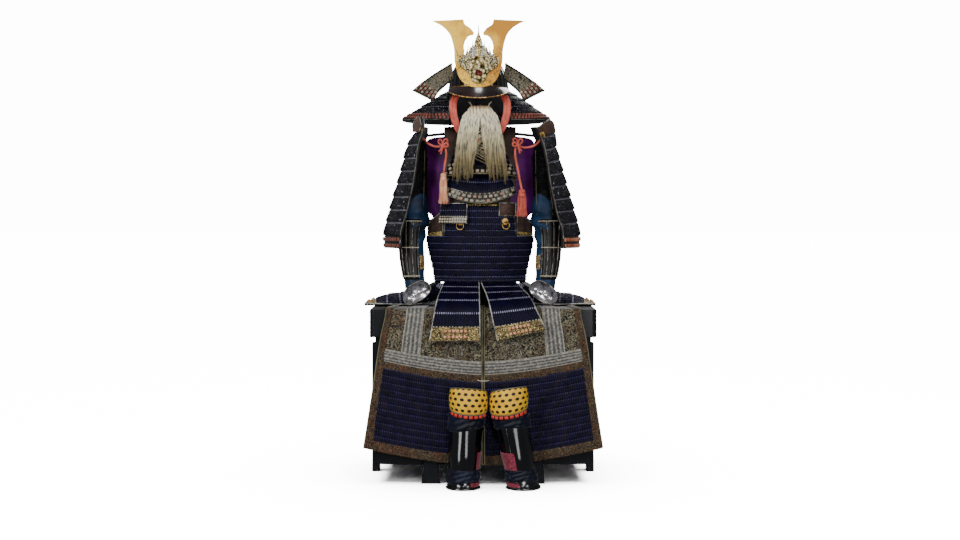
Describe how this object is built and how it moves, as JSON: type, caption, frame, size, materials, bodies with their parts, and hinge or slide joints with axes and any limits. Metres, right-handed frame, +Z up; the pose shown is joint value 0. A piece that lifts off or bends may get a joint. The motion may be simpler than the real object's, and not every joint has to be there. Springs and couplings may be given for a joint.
{
  "type": "suit of samurai armour on its storage chest and stand",
  "caption": "Laced samurai armour set out as if seated on its black lacquered storage chest, with horned helmet, bearded mask, cuirass, thigh, shin and shoulder guards.",
  "frame": {"origin": "on the floor under the middle of the whole set's box", "axes": "+Z up, +Y from the armour's front to its back, +X to the right as one faces it"},
  "size_m": [0.7858, 0.6431, 1.5056],
  "materials": {
    "lacquer": "black lacquer, glossy",
    "lacquered_steel": "black lacquer, glossy",
    "laced_rows": "navy silk lacing over lacquered scales",
    "leather": "dark brown, worn",
    "printed_leather": "smoked, with a small print",
    "yellow_leather": "yellow with rows of dark dots",
    "purple_silk": "plain silk, soft sheen",
    "brocade": "brown brocade and navy laced rows",
    "binding": "silver-grey woven band",
    "blue_hemp": "dark blue cloth",
    "gilt": "gilded copper, polished",
    "silvered_iron": "silvered, smooth",
    "coral_silk": "braided silk",
    "hair": "long pale horsehair"
  },
  "bodies": {
    "armour": {"chest_lid": "lacquer", "chest_body": "lacquer", "chest_leg_front_left": "lacquer", "chest_leg_front_right": "lacquer", "chest_leg_side_left": "lacquer", "chest_leg_side_right": "lacquer", "chest_leg_back_left": "lacquer", "chest_leg_back_right": "lacquer", "stand": "lacquer", "under_vest": "purple_silk", "waist_rows": "laced_rows", "chest_rows": "laced_rows", "back_rows": "laced_rows", "breast_plate": "leather", "side_plate_left": "leather", "side_plate_right": "leather", "shoulder_strap_left": "leather", "shoulder_strap_right": "leather", "chest_flap": "laced_rows", "chest_plate": "leather", "tasset_front_left": "laced_rows", "tasset_front_right": "laced_rows", "tasset_side_left": "laced_rows", "tasset_side_right": "laced_rows", "tasset_back_left": "laced_rows", "tasset_back_right": "laced_rows", "thigh_guard_left": "brocade", "thigh_guard_right": "brocade", "thigh_binding_left": "binding", "thigh_binding_right": "binding", "shin_guard_left": "lacquered_steel", "shin_guard_right": "lacquered_steel", "knee_guard_left": "yellow_leather", "knee_guard_right": "yellow_leather", "sleeve_left": "blue_hemp", "sleeve_right": "blue_hemp", "forearm_splints_left": "lacquered_steel", "forearm_splints_right": "lacquered_steel", "hand_guard_left": "silvered_iron", "hand_guard_right": "silvered_iron", "shoulder_guard_left": "laced_rows", "shoulder_guard_right": "laced_rows", "gorget": "laced_rows", "throat_guard": "laced_rows", "face_mask": "lacquered_steel", "beard": "hair", "helmet_bowl": "lacquered_steel", "helmet_visor": "lacquered_steel", "neck_guard": "laced_rows", "turnback_left": "printed_leather", "turnback_right": "printed_leather", "crest_plate": "gilt", "crest_ornament": "gilt", "helmet_cord": "coral_silk", "shoulder_cord_left": "coral_silk", "shoulder_cord_right": "coral_silk", "tassel_left": "coral_silk", "tassel_right": "coral_silk"},
    "ring_left": {"ring_left": "gilt"},
    "ring_right": {"ring_right": "gilt"}
  },
  "joints": [
    {"name": "ring_left_swing", "type": "hinge", "parent": "armour", "child": "ring_left", "pos_m": [-0.06849, -0.06973, 0.843], "axis": [-0.9662, 0.2578, 0], "range_deg": [0, 40]},
    {"name": "ring_right_swing", "type": "hinge", "parent": "armour", "child": "ring_right", "pos_m": [0.0836, -0.06359, 0.845], "axis": [-0.9403, -0.3404, 0], "range_deg": [0, 100]}
  ]
}
